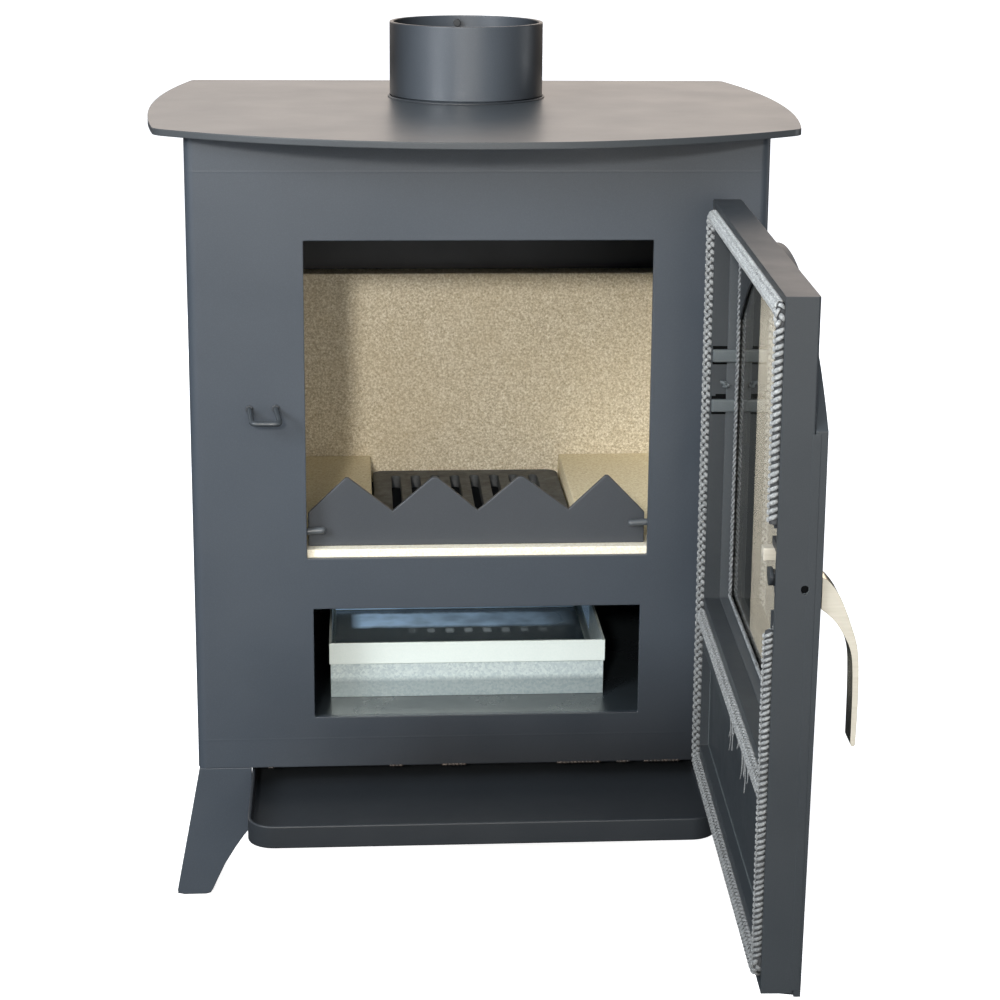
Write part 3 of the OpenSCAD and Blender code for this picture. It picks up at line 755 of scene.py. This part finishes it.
def build_ropes():
    step = 0.8
    xz = rounded_path([(-ROPE_X, ROPE_ZT), (ROPE_X, ROPE_ZT), (ROPE_X, ROPE_ZB), (-ROPE_X, ROPE_ZB)], 9,
                      (-ROPE_X, 424.8), (-ROPE_X, 356.6))
    path = resample([Vector((p.x, YI, p.y)) for p in xz], step)
    free = [i for i, q in enumerate(path) if q.x < -ROPE_X + 0.02]
    cut1 = next(i for i in range(len(path)) if i not in set(free))
    cut2 = next(i for i in range(len(path) - 1, -1, -1) if i not in set(free))
    parts = [woven(path[cut1 - 3:cut2 + 4], YN, step, seed=3)]
    ribs = ((-1, 2.9, 1.6, 36), (-1, 2.3, 1.5, 34), (1, 4.5, 1.45, 27))
    parts.append(woven(path[:cut1], YN, step, pitch=4.6, cols=(-76, -16, 58), seed=7, rib=ribs))
    ribs = ((-1, 2.9, 1.3, 36), (-1, 2.3, 1.25, 34), (1, 4.5, 1.2, 25))
    parts.append(woven(path[cut2 + 1:], YN, step, pitch=3.9, cols=(-76, -16, 58), seed=8, rib=ribs))
    v, f = merge(parts)
    rope = new_object("seal_rope_plait", door_verts(v), f, "rope", "door", 180)
    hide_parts("rope_perimeter")
    cv, cf = tube([q + YN * 0.3 for q in path], 3.95, 12, normal=YN)
    new_object("seal_rope_gap_shade", door_verts(cv), cf, "strand_gap_shade", "door", 180)
    xz = [Vector((-176.2, YI, ROPE_ZM)), Vector((176.2, YI, ROPE_ZM))]
    path = resample(xz, step)
    v, f = woven(path, YN, step, pitch=5.2, seed=5)
    bar = new_object("crossbar_rope_plait", door_verts(v), f, "rope", "door", 180)
    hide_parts("rope_crossbar")
    cv, cf = tube([q + YN * 0.3 for q in path], 3.95, 12, normal=YN)
    new_object("crossbar_rope_gap_shade", door_verts(cv), cf, "strand_gap_shade", "door", 180)
    # thin twisted cord between the glass and its frame, open at the spindle
    step = 0.8
    loop = rounded_path([(-170.2, 263.7), (170.2, 263.7), (170.2, 545.6), (-170.2, 545.6)], 2.2, (-170.2, 377.5), (-170.2, 406.0))
    path = resample([Vector((p.x, YI - 19.3, p.y)) for p in loop], step)
    parts = []
    for k in range(2):
        pts = []
        for i, p in enumerate(path):
            a, b = path[max(0, i - 1)], path[min(len(path) - 1, i + 1)]
            t = (b - a).normalized()
            sd = t.cross(YN).normalized()
            th = 2 * math.pi * (i * step / 8.4 + k / 2)
            pts.append(p + (YN * math.cos(th) + sd * math.sin(th)) * 0.78)
        parts.append(tube(pts, 0.82, 6, normal=YN))
    v, f = merge(parts)
    g = new_object("glass_cord", door_verts(v), f, "cordgrey", "door", 180)
    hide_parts("glass_gasket")
    # loose fibres: cut rope ends by the latch, and threads hanging from the crossbar rope
    rnd = random.Random(11)
    parts = []
    for cx, cz, up, count, reach in ((-ROPE_X, 424.5, -1, 15, 6.5), (-ROPE_X, 357.0, 1, 17, 7.0)):
        for k in range(count):
            an = rnd.uniform(-1.4, 1.4)
            a0 = Vector((cx + 3.4 * math.sin(an), YI - 0.4 - 3.6 * math.cos(an), cz - up * 1.5))
            dirn = Vector((0.5 * math.sin(an) + rnd.uniform(-0.4, 0.4), rnd.uniform(-0.35, 0.2), up * 1.0)).normalized()
            bend = Vector((rnd.uniform(-0.6, 0.6), rnd.uniform(-0.1, 0.4), rnd.uniform(-0.4, 0.2) * up))
            L = reach * rnd.uniform(0.4, 1.0)
            pts = []
            for i in range(8):
                t = i / 7
                q = a0 + dirn * (L * t) + bend * (L * t * t * 0.5)
                q.x = max(-186.6, min(-175, q.x))
                q.y = max(YI - 5.2, min(YI + 5.2, q.y))
                pts.append(q)
            parts.append(tube(pts, rnd.uniform(0.28, 0.55), 5))
    for sx_, z0, L, lean in ((-28, 243, 17, 2.5), (-34, 243, 26, 4), (-41, 243, 21, -2), (-72, 243, 9, 3), (-96, 243, 22, 5),
                             (-103, 243, 14, -3), (-112, 243, 24, 3), (-121, 243, 12, -2), (-50, 243, 8, 2)):
        for k in range(2):
            a0 = Vector((sx_ + rnd.uniform(-1.5, 1.5), YI + 3.4, z0))
            w = rnd.uniform(-1.5, 1.5)
            pts = []
            for i in range(10):
                t = i / 9
                q = a0 + Vector((lean * t * t + w * math.sin(t * 4), -0.6 * math.sin(t * 3), -L * rnd.uniform(0.97, 1.0) * t))
                q.y = min(YI + 5.0, max(YI + 1.2, q.y + 0.5))
                pts.append(q)
            parts.append(tube(pts, 0.3, 5))
    v, f = merge(parts)
    new_object("loose_fibres", door_verts(v), f, "rope", "door", 180)


# ------------------------------------------------------------------ lever
def smooth_poly(points, per=6):
    """Catmull-Rom through 2D points."""
    out = []
    n = len(points)
    for i in range(n - 1):
        p0, p1, p2, p3 = points[max(0, i - 1)], points[i], points[i + 1], points[min(n - 1, i + 2)]
        for k in range(per):
            t = k / per
            out.append(tuple(0.5 * ((2 * p1[j]) + (-p0[j] + p2[j]) * t + (2 * p0[j] - 5 * p1[j] + 4 * p2[j] - p3[j]) * t * t
                                    + (-p0[j] + 3 * p1[j] - 3 * p2[j] + p3[j]) * t ** 3) for j in (0, 1)))
    out.append(points[-1])
    return out


def extrude_profile(outline, x0, x1):
    """Closed (d, z) outline to a prism across x, in closed-door mm."""
    n = len(outline)
    verts = [Vector((x, YI - d, z)) for x in (x0, x1) for d, z in outline]
    faces = [tuple(range(n)), tuple(range(n, 2 * n))[::-1]]
    for i in range(n):
        j = (i + 1) % n
        faces.append((i, j, n + j, n + i))
    return verts, faces


def bevel_object(ob, width, segments=3, angle=30, smooth=40):
    mod = ob.modifiers.new("edge", "BEVEL")
    mod.width = width
    mod.segments = segments
    mod.limit_method = "ANGLE"
    mod.angle_limit = math.radians(angle)
    mod.use_clamp_overlap = True
    settle(ob, smooth)


def build_lever():
    outer = smooth_poly([(29.1, 392.2), (33.8, 389.0), (40.8, 379.2), (47.8, 362.1), (52.6, 345.9), (54.1, 324.4), (54.15, 302.4), (53.7, 283.6)], 8)
    inner = smooth_poly([(50.6, 284.2), (50.6, 300.0), (50.45, 318.0), (49.7, 336.0), (48.0, 345.6), (44.6, 353.4), (38.6, 363.0), (33.0, 368.6), (29.1, 371.6)], 8)
    outline = outer + [(53.2, 282.3), (51.3, 282.3)] + inner
    v, f = extrude_profile(outline, SX - 10, SX + 10)
    ob = new_object("lever_body", door_verts(v), f, "lever", "handle")
    bevel_object(ob, 0.0009, 3, 40, 50)
    ob.data.materials.append(M["lever_edge"])
    flat = (DOOR.to_3x3() @ Vector((1, 0, 0))).normalized()
    for pl in ob.data.polygons:
        if abs(pl.normal.dot(flat)) < 0.5:
            pl.material_index = 1
    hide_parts("handle_lever")


# ------------------------------------------------------------------ welds
def bead(points, r, ripple=0.18, pitch=3.0, step=0.8, name="bead", mat="weld", body="stove_body", door=False, sides=10, flat=1.0, seed=1):
    rnd = random.Random(seed)
    path = resample([Vector(p) for p in points], step)
    if len(path) < 3:
        return None
    L = len(path)

    def rad(i):
        s = i * step
        end = min(1.0, min(i, L - 1 - i) * step / r + 0.35)
        return r * (1 - ripple * (0.5 + 0.5 * math.cos(2 * math.pi * s / pitch))) * min(1, end)
    v, f = tube(path, rad, sides)
    for q in v:
        q += Vector((rnd.uniform(-1, 1), rnd.uniform(-1, 1), rnd.uniform(-1, 1))) * r * 0.05
    vv = door_verts(v) if door else [P(q.x, q.y, q.z) for q in v]
    return new_object(name, vv, f, mat, body, 180)


def ring_points(c, r, axis, n=40, a0=0, a1=360):
    out = []
    for k in range(n + 1):
        a = math.radians(a0 + (a1 - a0) * k / n)
        if axis == "y":
            out.append((c[0] + r * math.cos(a), c[1], c[2] + r * math.sin(a)))
        else:
            out.append((c[0] + r * math.cos(a), c[1] + r * math.sin(a), c[2]))
    return out


def build_welds():
    kp = [(-175.3, -0.6, 400.2), (-155.4, -0.6, 400.7)]
    for i, k in enumerate(kp):
        bead(ring_points(k, 2.3, "y", 24), 0.9, 0.2, 2.2, 0.5, f"keeper_bead_{i}", "weld", seed=i + 2)
    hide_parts("keeper_welds")
    ring = bead(ring_points((0, 216.6, 615.3), 63.9, "z", 160), 1.25, 0.06, 2.6, 0.9, "collar_bead", "dark", seed=8)
    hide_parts("flue_weld")
    # tacks along the lower edge of the front sheet
    parts = []
    rnd = random.Random(5)
    for x0, x1 in ((-166, -160), (-70, -58), (-28, -8), (64, 100), (112, 124), (134, 164)):
        path = resample([Vector((x0, 0.4, 107.2)), Vector((x1, 0.4, 107.2 + rnd.uniform(-0.2, 0.2)))], 0.9)
        L = len(path)
        parts.append(tube(path, lambda i, L=L: 1.35 * (0.8 + 0.2 * math.sin(i * 1.9)) * min(1, 0.4 + min(i, L - 1 - i) * 0.4), 9))
    v, f = merge(parts)
    ob = new_object("base_tack_beads", [P(q.x, q.y, q.z) for q in v], f, "tack", "stove_body", 180)
    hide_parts("base_tacks")
    # fillets under the hinge brackets
    for i, z in enumerate((190, 455)):
        pts = [(200.6, -0.3, z + 1), (200.6, -0.3, z + 18.8)]
        bead(pts, 1.5, 0.2, 2.6, 0.7, f"bracket_bead_r{i}", "weld", seed=20 + i)
        pts = [(193.4, -0.3, z + 1), (193.4, -0.3, z + 18.8)]
        bead(pts, 1.5, 0.2, 2.6, 0.7, f"bracket_bead_l{i}", "weld", seed=30 + i)


def build_keeper():
    k = [Vector((-175.3, 0.8, 400.4)), Vector((-172.6, -22, 393.7)), Vector((-151.4, -22, 393.7)), Vector((-155.4, 0.8, 400.9))]
    pts = [k[0]]
    for a, c, b in ((k[0], k[1], k[2]), (k[1], k[2], k[3])):
        r = 4.0
        p0, p1 = c + (a - c).normalized() * r, c + (b - c).normalized() * r
        for i in range(9):
            t = i / 8
            pts.append(p0.lerp(c, t).lerp(c.lerp(p1, t), t))
    pts.append(k[3])
    pts = resample(pts, 0.9)
    v, f = tube(pts, 2.15, 16)
    ob = new_object("keeper_rod", [P(q.x, q.y, q.z) for q in v], f, "rod", "stove_body", 180)
    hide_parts("latch_keeper")


# ------------------------------------------------------------------ small parts
def slab(name, x0, x1, d0, d1, z0, z1, mat, body="door", bevel=0.3):
    """A small sheet-metal block in closed-door mm, with softened edges."""
    xs, ds, zs = sorted((x0, x1)), sorted((d0, d1)), sorted((z0, z1))
    v = [Vector((x, YI - d, z)) for x in xs for d in ds for z in zs]
    f = [(0, 1, 3, 2), (4, 6, 7, 5), (0, 4, 5, 1), (2, 3, 7, 6), (0, 2, 6, 4), (1, 5, 7, 3)]
    ob = new_object(name, door_verts(v), f, mat, body)
    bevel_object(ob, bevel / 1000, 2, 30, 40)
    return ob


def build_small_parts():
    # second, slightly raised frame inside the window's return walls
    for s in (-1, 1):
        for z0, z1 in ((261.2, 547.8),) if s > 0 else ((261.2, 366.5), (424.0, 547.8)):
            slab("window_step_side_%d_%d" % (s > 0, z0), s * 174.5, s * 174.05, 11.8, 19.4, z0, z1, "step", bevel=0.2)
    slab("window_step_top", -174.1, 174.1, 11.8, 19.4, 548.0, 547.5, "step", bevel=0.2)
    slab("window_step_foot", -174.1, 174.1, 11.8, 19.4, 261.0, 261.5, "step", bevel=0.2)
    # clips that hold the glass, with strips of painted shadow above and below them
    first = None
    for i, z in enumerate((451.6, 413.3)):
        c = slab("glass_clip_%d" % i, 171.5, 174.6, 0.9, 19.6, z - 4.9, z + 4.9, "clip", bevel=1.3)
        first = first or c
        slab("clip_slot_above_%d" % i, 174.1, 174.6, 1.0, 19.0, z + 5.0, z + 7.2, "gap", bevel=0.1)
        slab("clip_slot_below_%d" % i, 174.1, 174.6, 1.0, 19.0, z - 6.8, z - 5.0, "gap", bevel=0.1)
    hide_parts("glass_clips")
    # screw with a turned-over wire end between the clips
    parts = []
    pts = [Vector((173.9 - 1.3 * math.sin(t * 2.2), YI - 7.6 - 6.4 * t, 430.8 - 2.2 * t + 1.2 * math.sin(t * 7))) for t in [k / 12 for k in range(13)]]
    parts.append(tube(pts, lambda i: 1.15 + 0.25 * math.sin(i * 1.7), 8))
    pts = [Vector((173.6, YI - 10.5 + 1.9 * math.cos(a), 429.6 + 1.9 * math.sin(a))) for a in [k * 0.5 for k in range(12)]]
    parts.append(tube(pts, 0.8, 8))
    v, f = merge(parts)
    scr = new_object("frame_screw", door_verts(v), f, "clip", "door", 180)
    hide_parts("clip_screws")
    slab("screw_shadow", 174.2, 174.6, 4.0, 12.5, 419.3, 422.0, "gap", bevel=0.1)
    # the folded frame and the front plate meet without a gap
    for s in (-1, 1):
        slab("edge_fill_%d" % (s > 0), s * 188.9, s * 191.03, 18.9, 24.4, 118.0, 483.0, "door", bevel=0.1)
    # the turned edge under the door runs down to the front plate
    v = [Vector((x, YI - d, z)) for x in (-189.6, 189.6) for d, z in ((3.0, 116.5), (25.2, 116.5), (25.2, 113.95), (22.0, 114.3))]
    f = [(0, 1, 2, 3), (4, 7, 6, 5), (0, 4, 5, 1), (1, 5, 6, 2), (2, 6, 7, 3), (3, 7, 4, 0)]
    bevel_object(new_object("edge_foot", door_verts(v), f, "door", "door"), 0.0002, 2, 30, 40)
    # painted reflection and shade on glowing sheets inside the pan's back wall and floor, and on its right end
    for nm, q in (("pan_painted_light_wall", ((-113, 263.3, 150.9), (101, 263.5, 153.6))),
                  ("pan_painted_light_floor", ((-112.5, 150.0, 150.31), (102.5, 262.8, 150.42))),
                  ("pan_painted_light_end", ((103.5, 150.0, 168.0), (103.65, 212.0, 192.0)))):
        v = [P(q[i][0], q[j][1], q[k][2]) for i in (0, 1) for j in (0, 1) for k in (0, 1)]
        f = [(0, 1, 3, 2), (4, 6, 7, 5), (0, 4, 5, 1), (2, 3, 7, 6), (0, 2, 6, 4), (1, 5, 7, 3)]
        settle(new_object(nm, v, f, "painted_pan_light", "ash_drawer"), 40)
    # mouth of the screw hole beside the spindle: a near-black disc of painted shade, with a painted highlight on its
    # lower rim
    v = [Vector((-191.06 - 0.06 * (k // 20), YI - 17.9 - 2.5 * math.sin(k % 20 * math.pi / 10), 385.7 + 2.5 * math.cos(k % 20 * math.pi / 10))) for k in range(40)]
    f = [tuple(range(19, -1, -1)), tuple(range(20, 40))] + [(k, (k + 1) % 20, 20 + (k + 1) % 20, 20 + k) for k in range(20)]
    new_object("screw_hole", door_verts(v), f, "gap", "door")
    pts = [Vector((-191.1, YI - 17.9 - 2.6 * math.sin(t), 385.7 + 2.6 * math.cos(t))) for t in [1.2 + k * 0.14 for k in range(17)]]
    v, f = tube(pts, 0.28, 6)
    new_object("screw_hole_rim_highlight", door_verts(v), f, "clip", "door", 180)
    # painted highlights: light strips along the edges of the fold around the lower panel
    slab("panel_edge_highlight_side", 174.5, 174.0, 6.2, 7.0, 141.2, 239.5, "clip", bevel=0.15)
    slab("panel_edge_highlight_foot", -174.2, 174.2, 6.2, 7.0, 141.0, 141.6, "clip", bevel=0.15)
    # pegs that carry the log guard, round ended
    for i, (x0, x1, z) in enumerate(((-134.5, -118.4, 300.2), (134.5, 118.4, 304.2))):
        lean = 0.6 if x0 < 0 else -0.5
        pts = [Vector((x0 + (x1 - x0) * k / 14, 8.6, z + lean * (k / 14 - 0.5) * 2)) for k in range(15)]
        v, f = tube(pts, lambda k: 2.75 * (1 if k < 12 else (1, 0.86, 0.5)[k - 12]), 16)
        ob = new_object("guard_peg_%d" % i, [P(q.x, q.y, q.z) for q in v], f, "peg", "stove_body", 60)


# ------------------------------------------------------------------ build
build_ropes()
build_small_parts()
build_lever()
build_welds()
build_keeper()
for nd, r in (("body_wrap", 0.0006), ("back_panel", 0.0006), ("top_plate", 0.0009), ("flue_collar", 0.0006), ("ash_lip_tray", 0.0010),
              ("leg_front_left", 0.0008), ("leg_front_right", 0.0008), ("leg_rear_left", 0.0008), ("leg_rear_right", 0.0008),
              ("log_retainer", 0.0006), ("grate", 0.0012), ("door_tray", 0.0009), ("door_front_plate", 0.0022),
              ("crossbar", 0.0006), ("hook_finger", 0.0006), ("latch_hook", 0.0006), 
              ("back_brick", 0.0012), ("side_brick_left", 0.0012), ("side_brick_right", 0.0012),
              ("base_brick_left", 0.0012), ("base_brick_right", 0.0012), ("front_brick", 0.0008)):
    soft_copy(nd, r)


# ------------------------------------------------------------------ stage and light
def build_stage():
    me = bpy.data.meshes.new("floor")
    s = 14.0
    me.from_pydata([(-s, -s, -0.0006), (s, -s, -0.0006), (s, s, -0.0006), (-s, s, -0.0006)], [], [(0, 1, 2, 3)])
    ob = bpy.data.objects.new("floor", me)
    bpy.context.scene.collection.objects.link(ob)
    m = bpy.data.materials.new("floor_paint")
    m.use_nodes = True
    t = m.node_tree
    seen = t.nodes["Principled BSDF"]
    seen.inputs["Base Color"].default_value = (0.86, 0.86, 0.86, 1)
    seen.inputs["Roughness"].default_value = 0.9
    seen.inputs["Specular IOR Level"].default_value = 0.0
    seen.inputs["Emission Color"].default_value = (1, 1, 1, 1)
    seen.inputs["Emission Strength"].default_value = 0.80
    felt = t.nodes.new("ShaderNodeBsdfDiffuse")
    geo = t.nodes.new("ShaderNodeTexCoord")
    sp = t.nodes.new("ShaderNodeSeparateXYZ")
    t.links.new(geo.outputs["Object"], sp.inputs[0])
    sweep = t.nodes.new("ShaderNodeMapRange")
    sweep.interpolation_type = "SMOOTHSTEP"
    for k, v in (("From Min", -0.25), ("From Max", -2.1)):
        sweep.inputs[k].default_value = v
    t.links.new(sp.outputs[1], sweep.inputs["Value"])
    tone = t.nodes.new("ShaderNodeMix")
    tone.data_type = "RGBA"
    t.links.new(sweep.outputs["Result"], tone.inputs["Factor"])
    ca, cb = [i for i in tone.inputs if i.type == "RGBA"]
    ca.default_value = (0.035, 0.037, 0.040, 1)
    cb.default_value = (0.42, 0.44, 0.47, 1)
    t.links.new([o for o in tone.outputs if o.type == "RGBA"][0], felt.inputs["Color"])
    lp = t.nodes.new("ShaderNodeLightPath")
    mx = t.nodes.new("ShaderNodeMixShader")
    either = t.nodes.new("ShaderNodeMath")
    either.operation = "MAXIMUM"
    t.links.new(lp.outputs["Is Camera Ray"], either.inputs[0])
    t.links.new(lp.outputs["Is Transmission Ray"], either.inputs[1])
    t.links.new(either.outputs[0], mx.inputs[0])
    t.links.new(felt.outputs[0], mx.inputs[1])
    t.links.new(seen.outputs[0], mx.inputs[2])
    t.links.new(mx.outputs[0], t.nodes["Material Output"].inputs["Surface"])
    me.materials.append(m)

    w = bpy.data.worlds.new("studio")
    bpy.context.scene.world = w
    w.use_nodes = True
    t = w.node_tree
    bg = t.nodes["Background"]
    tc = t.nodes.new("ShaderNodeTexCoord")
    sp = t.nodes.new("ShaderNodeSeparateXYZ")
    t.links.new(tc.outputs["Generated"], sp.inputs[0])

    def span(sock, lo, hi):
        r = t.nodes.new("ShaderNodeMapRange")
        r.interpolation_type = "SMOOTHSTEP"
        r.inputs["From Min"].default_value = lo
        r.inputs["From Max"].default_value = hi
        t.links.new(sock, r.inputs["Value"])
        return r.outputs["Result"]

    def mix(fac, a, b):
        n = t.nodes.new("ShaderNodeMix")
        n.data_type = "RGBA"
        t.links.new(fac, n.inputs["Factor"])
        for k, v in (("A", a), ("B", b)):
            q = [i for i in n.inputs if i.name == k and i.type == "RGBA"][0]
            if isinstance(v, tuple):
                q.default_value = v
            else:
                t.links.new(v, q)
        return [o for o in n.outputs if o.type == "RGBA"][0]
    front = mix(span(sp.outputs[0], -0.8, 0.5), (0.40, 0.45, 0.51, 1), (0.13, 0.14, 0.15, 1))
    back = mix(span(sp.outputs[0], -0.6, 0.6), (1.75, 1.58, 1.46, 1), (1.95, 1.68, 1.46, 1))
    low = mix(span(sp.outputs[1], 0.45, 0.98), front, back)
    col = mix(span(sp.outputs[2], 0.30, 0.75), low, (0.42, 0.48, 0.56, 1))
    t.links.new(col, bg.inputs["Color"])
    bg.inputs["Strength"].default_value = 1.0
    white = t.nodes.new("ShaderNodeBackground")
    white.inputs["Color"].default_value = (1, 1, 1, 1)
    white.inputs["Strength"].default_value = 1.0
    lp = t.nodes.new("ShaderNodeLightPath")
    mx = t.nodes.new("ShaderNodeMixShader")
    either = t.nodes.new("ShaderNodeMath")
    either.operation = "MAXIMUM"
    t.links.new(lp.outputs["Is Camera Ray"], either.inputs[0])
    t.links.new(lp.outputs["Is Transmission Ray"], either.inputs[1])
    t.links.new(either.outputs[0], mx.inputs[0])
    t.links.new(bg.outputs[0], mx.inputs[1])
    t.links.new(white.outputs[0], mx.inputs[2])
    t.links.new(mx.outputs[0], t.nodes["World Output"].inputs[0])


def area(name, loc, target, size, energy, color=(1, 1, 1), size_y=None):
    l = bpy.data.lights.new(name, "AREA")
    l.energy = energy
    l.color = color
    l.shape = "RECTANGLE" if size_y else "DISK"
    l.size = size
    if size_y:
        l.size_y = size_y
    ob = bpy.data.objects.new(name, l)
    bpy.context.scene.collection.objects.link(ob)
    ob.location = Vector(loc)
    ob.rotation_euler = (Vector(target) - Vector(loc)).to_track_quat("-Z", "Y").to_euler()
    return ob


build_stage()
area("key", (-0.53, -3.00, 1.42), (0.0, 0.2, 0.40), 0.22, 52, (1.0, 0.94, 0.86))
area("front_fill", (-1.05, -1.75, 1.60), (-0.05, 0.1, 0.50), 1.1, 9, (0.95, 0.98, 1.0))
area("low_fill", (0.45, -2.5, 0.95), (-0.05, 0.2, 0.42), 1.1, 13.5, (1.0, 0.93, 0.84))
area("overhead", (-0.3, -0.3, 2.9), (0.0, 0.1, 0.3), 1.8, 12, (0.92, 0.96, 1.0))
area("left_fill", (-1.6, -1.35, 1.25), (-0.1, 0.0, 0.45), 0.9, 38, (0.95, 0.97, 1.0))
# low lights behind and to the right, for the faces that the front view doesn't show
area("back_fill", (0.15, 2.5, 0.34), (0.0, 0.35, 0.33), 0.55, 15, (0.92, 0.96, 1.0))
area("right_fill", (2.5, 0.55, 0.36), (0.2, 0.1, 0.34), 0.55, 4, (0.92, 0.96, 1.0))

bpy.context.scene.view_settings.view_transform = "Standard"
